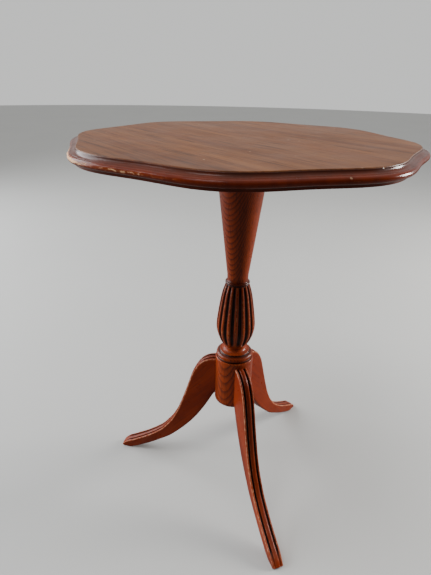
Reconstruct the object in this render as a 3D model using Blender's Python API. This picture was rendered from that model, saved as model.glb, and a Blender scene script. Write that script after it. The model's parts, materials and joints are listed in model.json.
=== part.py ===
"""Tilt-top occasional table.

An eight-lobed moulded top tilts on two steel pins in a pivot block.  The block sits on a
turned column with a reeded urn, and the column stands on three reeded sabre legs.
The origin is on the floor on the column's axis, +Z is up, and the top's grain and the
hinge axis run along X.  Units are metres.
"""

from math import cos, pi, radians, sin, sqrt

import bmesh
import bpy
from mathutils import Matrix, Vector

# Clearances
GAP = 0.0003              # between two pieces that touch
RUNNING_GAP = 0.0001      # between a pin and the hole that turns or slides on it
SIDE_PLAY = 0.0005        # between the pivot block and each bearer

# Top
TABLE_HEIGHT = 0.550
TOP_RADIUS = 0.2015       # mean radius of the flat upper face
TOP_THICKNESS = 0.0166
LOBE_COUNT = 8
LOBE_SWELL = 0.0050
QUIRK_DROP = 0.0012
QUIRK_SET = 0.0006
COVE_RUN = 0.0052
COVE_DROP = 0.0040
BEAD_REACH = 0.0042
BEAD_HEIGHT = 0.0076
LIP_REACH = 0.0030
LIP_HEIGHT = 0.0032
LIP_CHAMFER = 0.0006

# Pivot block and bearers
BLOCK_WIDTH = 0.112       # along the hinge axis
BLOCK_DEPTH = 0.116
BLOCK_THICKNESS = 0.022
HINGE_DROP = 0.0115       # hinge axis below the top's underside
BEARER_LENGTH = 0.240
BEARER_WIDTH = 0.020
BEARER_HEIGHT = 0.022
BEARER_TIP_HEIGHT = 0.009
BEARER_FLAT = 0.120       # middle stretch of full height
BEARER_SCREW_OFFSET = 0.092
PIN_RADIUS = 0.0040
PIN_DEPTH = 0.026         # how far each pin enters the block
PIN_HEAD_RADIUS = 0.0070
PIN_HEAD_HEIGHT = 0.0025

# Column
COLUMN_TOP_RADIUS = 0.0330
TAPER_FOOT_RADIUS = 0.0146
TAPER_FOOT_HEIGHT = 0.3620
COLLAR_RADIUS = 0.0176
COLLAR_HEIGHT = 0.3545
COLLAR_HALF = 0.0022
COLLAR_UNDERCUT = 0.0002
URN_RADIUS = 0.0287
URN_HEIGHT = 0.2850
URN_SHOULDER_RADIUS = 0.0228
URN_SHOULDER_HEIGHT = 0.3310
URN_LOWER_RADIUS = 0.0245
URN_LOWER_HEIGHT = 0.2635
REED_COUNT = 16
REED_TURN = radians(-4.85)
REED_RUN = 0.006          # height over which a groove reaches its depth
REED_PLAIN_FOOT = 0.003   # height of the urn's foot left plain below the reeds
REED_DEPTH_SHARE = 0.095  # depth of a groove as a share of the urn's radius there
NECK_RADIUS = 0.0156
NECK_HEIGHT = 0.2475
NECK_BLEND = 0.0012       # height of the curve between the neck and the members beside it
NECK_SWELL = 0.0006       # how far the urn's foot stands out from the neck
RIM_RADIUS = 0.0224
RIM_HEIGHT = 0.2405
RIM_GROOVE_RADIUS = 0.0208
RIM_THICKNESS = 0.0010
RIM_UNDERCUT = 0.0006
TORUS_RADIUS = 0.0276
TORUS_HEIGHT = 0.2342
TORUS_HALF = 0.0040
HUB_RADIUS = 0.0288
HUB_GROOVE_RADIUS = 0.0262
HUB_TOP_HEIGHT = 0.2290
HUB_GROOVE_HEIGHT = 0.0004
HUB_ARRIS = 0.0010
HUB_BOTTOM_HEIGHT = 0.1470
HUB_ROUNDING = 0.0025
TENON_RADIUS = 0.0130
TENON_CHAMFER = 0.0008
WEDGE_DEPTH = 0.015
WEDGE_TOP = 0.0032
WEDGE_FOOT = 0.0014
WEDGE_REACH = 0.82        # half length as a share of the tenon's radius
KERF_REACH = 1.2

# Legs
LEG_COUNT = 3
LEG_TURN = radians(101.9)
LEG_THICKNESS = 0.018
LEG_GROOVE_DEPTH = 0.0018
LEG_CREST_RISE = 0.0006
LEG_REED_SHARE = 0.34     # across a leg's half width: edge of the middle reed,
LEG_GROOVE_SHARES = (0.43, 0.66)   # floor of the groove beside it,
LEG_BEAD_SHARE = 0.75     # and start of the bead along the arris
LEG_ARRIS_DROP = 0.0012
LEG_TOE_SHARE = 0.86      # thickness of the toe as a share of the leg's
LEG_TOE_RUN = 0.016       # length over which a leg thins and its grooves run out
DOWEL_RADIUS = 0.0040
DOWEL_LENGTH = 0.030
DOWEL_HEIGHTS = (0.174, 0.201)
# Stations from hub to toe: the upper edge's radius and height, then the lower edge's
LEG_STATIONS = (
    (0.0200, 0.2222, 0.0200, 0.1700),
    (0.0330, 0.2205, 0.0300, 0.1532),
    (0.0440, 0.2163, 0.0345, 0.1445),
    (0.0525, 0.2092, 0.0385, 0.1362),
    (0.0609, 0.1966, 0.0428, 0.1278),
    (0.0671, 0.1818, 0.0470, 0.1200),
    (0.0768, 0.1495, 0.0565, 0.1038),
    (0.0870, 0.1184, 0.0672, 0.0884),
    (0.0938, 0.1007, 0.0745, 0.0790),
    (0.1031, 0.0821, 0.0850, 0.0668),
    (0.1124, 0.0688, 0.0960, 0.0554),
    (0.1242, 0.0548, 0.1095, 0.0430),
    (0.1482, 0.0363, 0.1380, 0.0238),
    (0.1728, 0.0217, 0.1665, 0.0078),
    (0.1828, 0.0164, 0.1785, 0.0025),
    (0.1892, 0.0127, 0.1850, 0.0000),
    (0.1950, 0.0078, 0.1905, 0.0000),
    (0.1990, 0.0028, 0.1962, 0.0000),
)

# Barrel bolt and keeper
CASE_LENGTH = 0.042
CASE_WIDTH = 0.030
CASE_PLATE = 0.0015
CASE_STANDOFF = 0.0014    # between the case and the block's edge, for the swing of the top
BARREL_WIDTH = 0.012
BARREL_LENGTH = 0.034
BOLT_DROP = 0.0085        # bolt axis below the top's underside
BOLT_RADIUS = 0.0030
BOLT_LENGTH = 0.040
BOLT_THROW = 0.008
KNOB_SHARE = 0.62         # place of the knob along the barrel
CASE_SCREW_SHARES = (0.16, 0.84)
KNOB_RADIUS = 0.0035
KNOB_STEM_RADIUS = 0.0014
KNOB_STEM_LENGTH = 0.0060
KEEPER_WIDTH = 0.028
KEEPER_HEIGHT = 0.012
KEEPER_THICKNESS = 0.0012
KEEPER_SCREW_OFFSET = 0.0095

# Screws: head radius, head height, shank radius, length
WOOD_SCREW = (0.0036, 0.0024, 0.0020, 0.0220)
CASE_SCREW = (0.0024, 0.0012, 0.0012, 0.0095)
SCREW_STAND_OFF = 0.014   # from the top's underside down to a bearer screw's head
SLOT_SHARE = 0.22         # width of a screw's slot as a share of its head radius

# Places that follow from the sizes above
UNDERSIDE = TABLE_HEIGHT - TOP_THICKNESS
BLOCK_TOP = UNDERSIDE - GAP
BLOCK_FOOT = BLOCK_TOP - BLOCK_THICKNESS
COLUMN_TOP = BLOCK_FOOT - GAP
TENON_TOP = BLOCK_TOP - GAP
HINGE_HEIGHT = UNDERSIDE - HINGE_DROP
HINGE_Y = BLOCK_DEPTH / 2 - (HINGE_DROP - GAP)
BEARER_X = BLOCK_WIDTH / 2 + SIDE_PLAY + BEARER_WIDTH / 2
BLOCK_FRONT = -BLOCK_DEPTH / 2
CASE_FRONT = BLOCK_FRONT - CASE_STANDOFF
BOLT_HEIGHT = UNDERSIDE - BOLT_DROP
BOLT_TIP = CASE_FRONT - GAP
BOLT_BORE_RADIUS = BOLT_RADIUS + GAP
HINGE = Vector((0, HINGE_Y, HINGE_HEIGHT))
BOLT_PLACE = Vector((0, BOLT_TIP, BOLT_HEIGHT))
ALONG_X = Matrix.Rotation(pi / 2, 4, "Y")
ALONG_Y = Matrix.Rotation(-pi / 2, 4, "X")


# ---------------------------------------------------------------- scene and materials

def clear_scene():
    for thing in list(bpy.data.objects):
        bpy.data.objects.remove(thing)


def make_material(name, colour, roughness, metallic=0.0):
    material = bpy.data.materials.new(name)
    material.use_nodes = True
    shader = material.node_tree.nodes["Principled BSDF"]
    shader.inputs["Base Color"].default_value = (*colour, 1)
    shader.inputs["Roughness"].default_value = roughness
    shader.inputs["Metallic"].default_value = metallic
    return material


# ---------------------------------------------------------------- shape helpers

def arc(centre, radii, start, end, steps):
    """Points on an ellipse's arc; angles in degrees from the first axis."""
    points = []
    for i in range(steps + 1):
        angle = radians(start + (end - start) * i / steps)
        points.append((centre[0] + radii[0] * cos(angle), centre[1] + radii[1] * sin(angle)))
    return points


def smooth_curve(points, steps):
    """A Catmull-Rom curve through points of any dimension, steps spans per stretch."""
    ends = [points[0], *points, points[-1]]
    curve = []
    for i in range(len(points) - 1):
        p0, p1, p2, p3 = ends[i:i + 4]
        for k in range(steps):
            t = k / steps
            curve.append(tuple(
                b + t * (c - a) / 2 + t * t * (2 * a - 5 * b + 4 * c - d) / 2
                + t ** 3 * (3 * b - a - 3 * c + d) / 2
                for a, b, c, d in zip(p0, p1, p2, p3)))
    curve.append(tuple(points[-1]))
    return curve


def ring_mesh(rings):
    """A closed body skinned over rings of equal length, with a face on each end."""
    bm = bmesh.new()
    loops = []
    for ring in rings:
        loops.append([bm.verts.new(point) for point in ring])
    count = len(loops[0])
    for lower, upper in zip(loops, loops[1:]):
        for i in range(count):
            j = (i + 1) % count
            bm.faces.new((lower[i], lower[j], upper[j], upper[i]))
    bm.faces.new(loops[0])
    bm.faces.new(loops[-1])
    bmesh.ops.recalc_face_normals(bm, faces=bm.faces)
    return bm


def circle(radius, height, steps):
    return [(radius * cos(2 * pi * i / steps), radius * sin(2 * pi * i / steps), height)
            for i in range(steps)]


def turned(profile, steps):
    """A solid of revolution about Z from (radius, height) points."""
    return ring_mesh([circle(radius, height, steps) for radius, height in profile])


def rod(radius, length, steps=16):
    """A round bar from the origin up Z."""
    return turned([(radius, 0), (radius, length)], steps)


def slab(low, high, bevel=0.0):
    """A box between two corners, its edges rounded if bevel is given."""
    bm = bmesh.new()
    bmesh.ops.create_cube(bm, size=1)
    size = [b - a for a, b in zip(low, high)]
    middle = [(a + b) / 2 for a, b in zip(low, high)]
    bmesh.ops.scale(bm, vec=size, verts=bm.verts)
    bmesh.ops.translate(bm, vec=middle, verts=bm.verts)
    if bevel:
        bmesh.ops.bevel(bm, geom=bm.edges[:], offset=bevel, segments=2, profile=0.5,
                        affect="EDGES", material=-1)
    return bm


def prism(outline, axis, start, end):
    """An outline in the plane across axis ("X" or "Y"), carried from start to end."""
    def point(position, across, height):
        return (position, across, height) if axis == "X" else (across, position, height)
    return ring_mesh([[point(position, *corner) for corner in outline]
                      for position in (start, end)])


def merged(shapes):
    """One bmesh holding several that stand apart."""
    bm = bmesh.new()
    for shape in shapes:
        mesh = bpy.data.meshes.new("shape")
        shape.to_mesh(mesh)
        shape.free()
        bm.from_mesh(mesh)
        bpy.data.meshes.remove(mesh)
    return bm


def moved(bm, matrix):
    bmesh.ops.transform(bm, matrix=matrix, verts=bm.verts)
    return bm


def at(x, y, z, turn=None):
    place = Matrix.Translation((x, y, z))
    return place @ turn if turn else place


def add_object(name, bm, material, origin=(0, 0, 0)):
    """An object whose origin is moved to origin while its shape stays in place."""
    bmesh.ops.translate(bm, vec=-Vector(origin), verts=bm.verts)
    mesh = bpy.data.meshes.new(name)
    bm.to_mesh(mesh)
    bm.free()
    mesh.materials.append(material)
    mesh.shade_smooth()
    mesh.set_sharp_from_angle(angle=radians(32))
    thing = bpy.data.objects.new(name, mesh)
    thing.location = origin
    bpy.context.collection.objects.link(thing)
    return thing


def cut(thing, shapes):
    """Subtract shapes, given in world space, from an object."""
    cutter_mesh = bpy.data.meshes.new(thing.name + "_cutter")
    bm = merged(shapes)
    bm.to_mesh(cutter_mesh)
    bm.free()
    cutter = bpy.data.objects.new(thing.name + "_cutter", cutter_mesh)
    bpy.context.collection.objects.link(cutter)
    modifier = thing.modifiers.new("Cut", "BOOLEAN")
    modifier.operation = "DIFFERENCE"
    modifier.solver = "EXACT"
    modifier.object = cutter
    bpy.context.view_layer.update()
    depsgraph = bpy.context.evaluated_depsgraph_get()
    carved = bpy.data.meshes.new_from_object(thing.evaluated_get(depsgraph))
    carved.name = thing.name
    thing.modifiers.remove(modifier)
    thing.data = carved
    bpy.data.objects.remove(cutter)
    carved.shade_smooth()
    carved.set_sharp_from_angle(angle=radians(32))


# ---------------------------------------------------------------- fasteners

def screw_mesh(name, size, material):
    """A slotted countersunk screw, head face at the origin, pointing up Z."""
    head_radius, head_height, shank_radius, length = size
    profile = [(head_radius, 0), (head_radius, head_height * 0.15), (shank_radius, head_height),
               (shank_radius, length - 2 * shank_radius), (shank_radius * 0.15, length)]
    screw = add_object(name, turned(profile, 12), material)
    half_slot = head_radius * SLOT_SHARE / 2
    cut(screw, [slab((-half_slot, -head_radius * 1.1, -head_height),
                     (half_slot, head_radius * 1.1, head_height * 0.45))])
    mesh = screw.data
    bpy.data.objects.remove(screw)
    return mesh


def add_screw(name, mesh, matrix, origin):
    """A copy of a screw in its place, with its origin at its body's origin."""
    own = mesh.copy()
    own.transform(matrix)
    own.transform(Matrix.Translation(-Vector(origin)))
    thing = bpy.data.objects.new(name, own)
    thing.location = origin
    bpy.context.collection.objects.link(thing)
    return thing


def screw_hole(size, matrix, clear_above=0.0):
    """The hole for a screw: its own shape grown by the gap, and an open way above the head."""
    head_radius, head_height, shank_radius, length = size
    head = head_radius + GAP
    shank = shank_radius + GAP
    profile = [(head, -clear_above - GAP), (head, head_height * 0.15 + GAP),
               (shank, head_height + GAP), (shank, length + GAP)]
    return moved(turned(profile, 12), matrix)


# ---------------------------------------------------------------- top

def top_section():
    """The moulded edge from the upper arris to the underside, as (reach, drop) points."""
    bead_x = QUIRK_SET + COVE_RUN
    bead_top = QUIRK_DROP + COVE_DROP
    bead_foot = bead_top + BEAD_HEIGHT
    cove = arc((bead_x, QUIRK_DROP), (COVE_RUN, COVE_DROP), 180, 90, 3)
    bead = arc((bead_x, (bead_top + bead_foot) / 2), (BEAD_REACH, BEAD_HEIGHT / 2), -90, 90, 6)
    lip = [(LIP_REACH, TOP_THICKNESS - LIP_HEIGHT), (LIP_REACH, TOP_THICKNESS - LIP_CHAMFER),
           (LIP_REACH - LIP_CHAMFER, TOP_THICKNESS)]
    return [(0, 0), (QUIRK_SET * 0.5, QUIRK_DROP * 0.8)] + cove + bead[1:] + lip


def top_outline(reach, height, steps=10 * LOBE_COUNT):
    """The lobed outline grown outwards by reach along its own normals."""
    points = []
    for i in range(steps):
        angle = 2 * pi * i / steps
        radius = TOP_RADIUS + LOBE_SWELL * cos(LOBE_COUNT * angle)
        slope = -LOBE_COUNT * LOBE_SWELL * sin(LOBE_COUNT * angle)
        outward = Vector((cos(angle), sin(angle), 0)) * radius
        normal = outward - Vector((-sin(angle), cos(angle), 0)) * slope
        points.append(outward + normal.normalized() * reach + Vector((0, 0, height)))
    return points


def bearer_screw_places():
    """Each bearer screw's node name and head place, pointing up into the top."""
    places = []
    for side, x in (("left", -BEARER_X), ("right", BEARER_X)):
        for spot, y in (("front", -BEARER_SCREW_OFFSET), ("middle", 0), ("rear", BEARER_SCREW_OFFSET)):
            places.append((f"bearer_screw_{side}_{spot}", at(x, y, UNDERSIDE - SCREW_STAND_OFF)))
    return places


def case_screw_places():
    """The barrel bolt's four screws, pointing up into the top."""
    head_height = UNDERSIDE - GAP - CASE_PLATE
    places = []
    for across, side in ((-1, "left"), (1, "right")):
        for share, end in zip(CASE_SCREW_SHARES, ("front", "rear")):
            x = across * (BARREL_WIDTH / 2 + CASE_WIDTH / 2) / 2
            y = CASE_FRONT - CASE_LENGTH * share
            places.append((f"bolt_screw_{side}_{end}", at(x, y, head_height)))
    return places


def make_top(wood):
    section = top_section()
    rings = [top_outline(reach, TABLE_HEIGHT - drop) for reach, drop in section]
    top = add_object("table_top", ring_mesh(rings), wood, HINGE)
    holes = [screw_hole(WOOD_SCREW, place) for _, place in bearer_screw_places()]
    holes += [screw_hole(CASE_SCREW, place) for _, place in case_screw_places()]
    cut(top, holes)


# ---------------------------------------------------------------- bearers, block and pins

def bearer_foot_height(y):
    """Height of a bearer's lower edge, which rises to thin tips."""
    taper = max(0.0, abs(y) - BEARER_FLAT / 2) / (BEARER_LENGTH / 2 - BEARER_FLAT / 2)
    return UNDERSIDE - GAP - BEARER_HEIGHT + (BEARER_HEIGHT - BEARER_TIP_HEIGHT) * taper


def make_bearers(wood):
    half = BEARER_LENGTH / 2
    head = UNDERSIDE - GAP
    ends = (-half, -BEARER_FLAT / 2, BEARER_FLAT / 2, half)
    outline = [(y, bearer_foot_height(y)) for y in ends] + [(half, head), (-half, head)]
    for side, x in (("left", -BEARER_X), ("right", BEARER_X)):
        shape = prism(outline, "X", x - BEARER_WIDTH / 2, x + BEARER_WIDTH / 2)
        bearer = add_object(f"bearer_{side}", shape, wood, HINGE)
        holes = [screw_hole(WOOD_SCREW, place, BEARER_HEIGHT)
                 for name, place in bearer_screw_places() if side in name]
        pin_hole = rod(PIN_RADIUS + RUNNING_GAP, BEARER_WIDTH * 2, 24)
        holes.append(moved(pin_hole, at(x - BEARER_WIDTH, HINGE_Y, HINGE_HEIGHT, ALONG_X)))
        cut(bearer, holes)


def block_outline():
    """The block from the side: its upper hinge-side arris is round about the hinge axis."""
    round_arris = arc((HINGE_Y, HINGE_HEIGHT), (HINGE_DROP - GAP, HINGE_DROP - GAP), 0, 90, 8)
    back = BLOCK_DEPTH / 2
    return [(BLOCK_FRONT, BLOCK_FOOT), (back, BLOCK_FOOT), *round_arris, (BLOCK_FRONT, BLOCK_TOP)]


def make_block(wood):
    shape = prism(block_outline(), "X", -BLOCK_WIDTH / 2, BLOCK_WIDTH / 2)
    block = add_object("pivot_block", shape, wood)
    tenon_hole = rod(TENON_RADIUS + GAP, BLOCK_THICKNESS * 2, REED_COUNT * 4)
    shapes = [moved(tenon_hole, at(0, 0, BLOCK_FOOT - BLOCK_THICKNESS / 2))]
    for side in (-1, 1):
        hole = rod(PIN_RADIUS + GAP, PIN_DEPTH * 2, 24)
        middle = side * BLOCK_WIDTH / 2
        shapes.append(moved(hole, at(middle - PIN_DEPTH, HINGE_Y, HINGE_HEIGHT, ALONG_X)))
    cut(block, shapes)
    recess = slab(*keeper_corners(GAP))
    bolt_hole = rod(BOLT_BORE_RADIUS, BOLT_THROW * 2, 16)
    cut(block, [recess])
    cut(block, [moved(bolt_hole, at(0, BLOCK_FRONT - BOLT_THROW, BOLT_HEIGHT, ALONG_Y))])
    cut(block, [screw_hole(CASE_SCREW, place, KEEPER_THICKNESS) for _, place in keeper_screw_places()])


def make_pins(steel):
    """Headed pins through the bearers into the block; the top turns on them."""
    length = SIDE_PLAY + BEARER_WIDTH + PIN_DEPTH
    profile = [(PIN_HEAD_RADIUS * 0.8, -PIN_HEAD_HEIGHT), (PIN_HEAD_RADIUS, -PIN_HEAD_HEIGHT * 0.7),
               (PIN_HEAD_RADIUS, 0), (PIN_RADIUS, 0), (PIN_RADIUS, length)]
    start = BEARER_X + BEARER_WIDTH / 2 + GAP
    for side, sign in (("left", 1), ("right", -1)):
        turn = ALONG_X if sign > 0 else Matrix.Rotation(-pi / 2, 4, "Y")
        shape = moved(turned(profile, 24), at(-sign * start, HINGE_Y, HINGE_HEIGHT, turn))
        add_object(f"pivot_pin_{side}", shape, steel, HINGE)


# ---------------------------------------------------------------- column and wedge

def urn_top():
    return COLLAR_HEIGHT - COLLAR_HALF * 1.3


def urn_foot():
    return NECK_HEIGHT + NECK_BLEND


def column_profile():
    """The column below its tenon, from its top edge down to the foot of the hub."""
    head = [(COLUMN_TOP_RADIUS, COLUMN_TOP), (TAPER_FOOT_RADIUS, TAPER_FOOT_HEIGHT)]
    collar = arc((COLLAR_RADIUS - COLLAR_HALF, COLLAR_HEIGHT), (COLLAR_HALF, COLLAR_HALF), 90, -60, 3)
    urn_start = (COLLAR_RADIUS - COLLAR_UNDERCUT, urn_top())
    urn = smooth_curve([urn_start, (URN_SHOULDER_RADIUS, URN_SHOULDER_HEIGHT), (URN_RADIUS, URN_HEIGHT),
                        (URN_LOWER_RADIUS, URN_LOWER_HEIGHT), (NECK_RADIUS + NECK_SWELL, urn_foot())], 3)
    neck = arc((RIM_RADIUS, NECK_HEIGHT), (RIM_RADIUS - NECK_RADIUS, NECK_HEIGHT - RIM_HEIGHT - NECK_BLEND),
               180, 262, 3)
    rim = [(RIM_RADIUS, RIM_HEIGHT + RIM_THICKNESS), (RIM_RADIUS, RIM_HEIGHT),
           (RIM_GROOVE_RADIUS, RIM_HEIGHT - RIM_UNDERCUT)]
    torus = arc((TORUS_RADIUS - TORUS_HALF, TORUS_HEIGHT), (TORUS_HALF, TORUS_HALF), 80, -80, 4)
    hub = [(HUB_GROOVE_RADIUS, HUB_TOP_HEIGHT + HUB_GROOVE_HEIGHT), (HUB_GROOVE_RADIUS, HUB_TOP_HEIGHT),
           (HUB_RADIUS - HUB_ARRIS, HUB_TOP_HEIGHT), (HUB_RADIUS, HUB_TOP_HEIGHT - HUB_ARRIS)]
    foot = arc((HUB_RADIUS - HUB_ROUNDING, HUB_BOTTOM_HEIGHT + HUB_ROUNDING),
               (HUB_ROUNDING, HUB_ROUNDING), 0, -90, 2)
    return head + collar + urn + neck + rim + torus + hub + foot


def reed_share(height):
    """How fully the reeds are cut at a height: none outside the urn, full within it."""
    top = urn_top()
    foot = urn_foot()
    if not foot < height < top:
        return 0.0
    depth = min(1.0, (top - height) / REED_RUN, (height - foot - REED_PLAIN_FOOT) / REED_RUN)
    return max(0.0, depth)


def reeded_circle(radius, height, per_reed=4):
    """A ring round the urn: round crests that meet in sharp grooves."""
    depth = radius * REED_DEPTH_SHARE * reed_share(height)
    points = []
    for i in range(REED_COUNT * per_reed):
        across = abs(2 * (i % per_reed) / per_reed - 1)
        radius_here = radius - depth * (1 - sqrt(1 - across * across))
        angle = REED_TURN + 2 * pi * i / (REED_COUNT * per_reed)
        points.append((radius_here * cos(angle), radius_here * sin(angle), height))
    return points


def make_column(wood):
    tenon = [(TENON_RADIUS - TENON_CHAMFER, TENON_TOP), (TENON_RADIUS, TENON_TOP - TENON_CHAMFER),
             (TENON_RADIUS, COLUMN_TOP)]
    rings = [reeded_circle(radius, height) for radius, height in tenon + column_profile()]
    column = add_object("column", ring_mesh(rings), wood)
    cut(column, [wedge_shape(GAP, GAP)])
    for index in range(LEG_COUNT):
        turn = leg_turn(index)
        cut(column, [moved(rod(DOWEL_RADIUS + GAP, DOWEL_LENGTH, 12),
                           turn @ at(HUB_RADIUS - DOWEL_LENGTH / 2 - GAP, 0, height, ALONG_X))
                     for height in DOWEL_HEIGHTS])


def wedge_shape(grow=0.0, above=0.0):
    """The tapered wedge across the tenon's end, or the kerf that takes it, carried up by above."""
    foot = TENON_TOP - WEDGE_DEPTH - grow
    reach = TENON_RADIUS * (KERF_REACH if above else WEDGE_REACH)
    upper = WEDGE_TOP / 2 + grow
    lower = WEDGE_FOOT / 2 + grow
    outline = [(-lower, foot), (lower, foot), (upper, TENON_TOP + above), (-upper, TENON_TOP + above)]
    return prism(outline, "X", -reach, reach)


def make_wedge(wood):
    add_object("tenon_wedge", wedge_shape(), wood)


# ---------------------------------------------------------------- legs and dowels

def leg_turn(index):
    return Matrix.Rotation(LEG_TURN + 2 * pi * index / LEG_COUNT, 4, "Z")


def leg_across():
    """The reeded upper face from side to side: (share of the half width, rise) points."""
    reed = LEG_REED_SHARE
    crest = [(u, LEG_CREST_RISE * (1 - (u / reed) ** 2)) for u in (-reed, -reed / 2, 0, reed / 2, reed)]
    side = [(share, -LEG_GROOVE_DEPTH) for share in LEG_GROOVE_SHARES]
    side += [(LEG_BEAD_SHARE, 0.0), ((1 + LEG_BEAD_SHARE) / 2, 0.0), (1.0, -LEG_ARRIS_DROP)]
    return [(-u, rise) for u, rise in reversed(side)] + crest + side


def leg_shape():
    """One leg along +X, skinned over sections that each join the two edges."""
    curve = [(a, max(b, 0), c, max(d, 0)) for a, b, c, d in smooth_curve(LEG_STATIONS, 2)]
    rings = []
    for i, (upper_r, upper_z, lower_r, lower_z) in enumerate(curve):
        ahead = curve[min(i + 1, len(curve) - 1)]
        behind = curve[max(i - 1, 0)]
        run = Vector((ahead[0] - behind[0], ahead[1] - behind[1])).normalized()
        normal = Vector((-run.y, run.x))
        fade = min(1.0, (LEG_STATIONS[-1][0] - upper_r) / LEG_TOE_RUN)
        half = LEG_THICKNESS / 2 * (LEG_TOE_SHARE + (1 - LEG_TOE_SHARE) * fade)
        ring = [(lower_r, -half, lower_z)]
        for share, rise in leg_across():
            lift = rise * fade
            ring.append((upper_r + normal.x * lift, share * half, upper_z + normal.y * lift))
        ring.append((lower_r, half, lower_z))
        rings.append(ring)
    return ring_mesh(rings)


def make_legs(wood):
    for index in range(LEG_COUNT):
        turn = leg_turn(index)
        leg = add_object(f"leg_{index + 1}", moved(leg_shape(), turn), wood)
        cope = rod(HUB_RADIUS + GAP, TABLE_HEIGHT, REED_COUNT * 4)
        cut(leg, [cope])
        cut(leg, [moved(rod(DOWEL_RADIUS + GAP, DOWEL_LENGTH, 12),
                        turn @ at(HUB_RADIUS - DOWEL_LENGTH / 2 + GAP, 0, height, ALONG_X))
                  for height in DOWEL_HEIGHTS])


def make_dowels(wood):
    """Fluted in reality, plain here: half of each in the hub and half in the leg."""
    chamfer = DOWEL_RADIUS * 0.2
    profile = [(DOWEL_RADIUS - chamfer, 0), (DOWEL_RADIUS, chamfer),
               (DOWEL_RADIUS, DOWEL_LENGTH - chamfer), (DOWEL_RADIUS - chamfer, DOWEL_LENGTH)]
    for index in range(LEG_COUNT):
        for height, level in zip(DOWEL_HEIGHTS, ("lower", "upper")):
            place = leg_turn(index) @ at(HUB_RADIUS - DOWEL_LENGTH / 2, 0, height, ALONG_X)
            add_object(f"leg_dowel_{index + 1}_{level}", moved(turned(profile, 12), place), wood)


# ---------------------------------------------------------------- barrel bolt and keeper

def make_bolt_case(brass):
    """A base plate against the top and a square barrel that the bolt slides in."""
    top = UNDERSIDE - GAP
    barrel_foot = BOLT_HEIGHT - BOLT_RADIUS - CASE_PLATE
    barrel_back = CASE_FRONT - BARREL_LENGTH
    outline = [(-CASE_WIDTH / 2, top), (-CASE_WIDTH / 2, top - CASE_PLATE),
               (-BARREL_WIDTH / 2, top - CASE_PLATE), (-BARREL_WIDTH / 2, barrel_foot),
               (BARREL_WIDTH / 2, barrel_foot), (BARREL_WIDTH / 2, top - CASE_PLATE),
               (CASE_WIDTH / 2, top - CASE_PLATE), (CASE_WIDTH / 2, top)]
    shape = prism(outline, "Y", CASE_FRONT - CASE_LENGTH, CASE_FRONT)
    case = add_object("bolt_case", shape, brass, HINGE)
    behind = slab((-CASE_WIDTH, CASE_FRONT - CASE_LENGTH * 1.2, barrel_foot - CASE_PLATE),
                  (CASE_WIDTH, barrel_back, top - CASE_PLATE))
    cut(case, [behind])
    bore = moved(rod(BOLT_RADIUS + RUNNING_GAP, CASE_LENGTH * 2, 16),
                 at(0, CASE_FRONT - CASE_LENGTH * 1.5, BOLT_HEIGHT, ALONG_Y))
    cut(case, [bore])
    slot_half = KNOB_STEM_RADIUS + GAP
    middle = knob_y()
    slot = slab((-slot_half, middle - slot_half, barrel_foot - CASE_PLATE),
                (slot_half, middle + BOLT_THROW + slot_half, BOLT_HEIGHT))
    cut(case, [slot])
    cut(case, [screw_hole(CASE_SCREW, place, CASE_PLATE) for _, place in case_screw_places()])


def knob_y():
    return BOLT_TIP - BARREL_LENGTH * KNOB_SHARE


def make_bolt(brass):
    tip = BOLT_RADIUS * 0.5
    profile = [(BOLT_RADIUS, 0), (BOLT_RADIUS, BOLT_LENGTH - tip), (BOLT_RADIUS - tip, BOLT_LENGTH)]
    shape = moved(turned(profile, 16), at(0, BOLT_TIP - BOLT_LENGTH, BOLT_HEIGHT, ALONG_Y))
    bolt = add_object("catch_bolt", shape, brass, BOLT_PLACE)
    socket = rod(KNOB_STEM_RADIUS + RUNNING_GAP, BOLT_RADIUS * 2, 12)
    cut(bolt, [moved(socket, at(0, knob_y(), BOLT_HEIGHT - BOLT_RADIUS * 2))])


def make_knob(brass):
    """A stem screwed into the bolt, with a small turned knob below the barrel."""
    knob_height = KNOB_RADIUS * 1.5
    profile = arc((0, 0), (KNOB_RADIUS, KNOB_RADIUS * 0.6), -70, 0, 3)
    profile += [(KNOB_RADIUS * 0.8, knob_height * 0.55), (KNOB_STEM_RADIUS * 1.4, knob_height * 0.7),
                (KNOB_STEM_RADIUS * 1.4, knob_height), (KNOB_STEM_RADIUS, knob_height),
                (KNOB_STEM_RADIUS, knob_height + KNOB_STEM_LENGTH)]
    start = BOLT_HEIGHT - GAP - knob_height - KNOB_STEM_LENGTH
    shape = moved(turned(profile, 12), at(0, knob_y(), start))
    add_object("bolt_knob", shape, brass, BOLT_PLACE)


def keeper_corners(grow=0.0):
    """The keeper plate let into the block's edge, or the recess that takes it."""
    side = KEEPER_WIDTH / 2 + grow
    reach = KEEPER_HEIGHT / 2 + grow
    front = BLOCK_FRONT - grow * 2
    back = BLOCK_FRONT + KEEPER_THICKNESS + grow
    return (-side, front, BOLT_HEIGHT - reach), (side, back, BOLT_HEIGHT + reach)


def keeper_screw_places():
    into_block = Matrix.Rotation(-pi / 2, 4, "X")
    return [(f"keeper_screw_{side}", at(x, BLOCK_FRONT, BOLT_HEIGHT, into_block))
            for side, x in (("left", -KEEPER_SCREW_OFFSET), ("right", KEEPER_SCREW_OFFSET))]


def make_keeper(brass):
    keeper = add_object("keeper_plate", slab(*keeper_corners()), brass)
    hole = rod(BOLT_BORE_RADIUS, BOLT_THROW * 2, 16)
    cut(keeper, [moved(hole, at(0, BLOCK_FRONT - BOLT_THROW, BOLT_HEIGHT, ALONG_Y))])
    cut(keeper, [screw_hole(CASE_SCREW, place, KEEPER_THICKNESS) for _, place in keeper_screw_places()])


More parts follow.
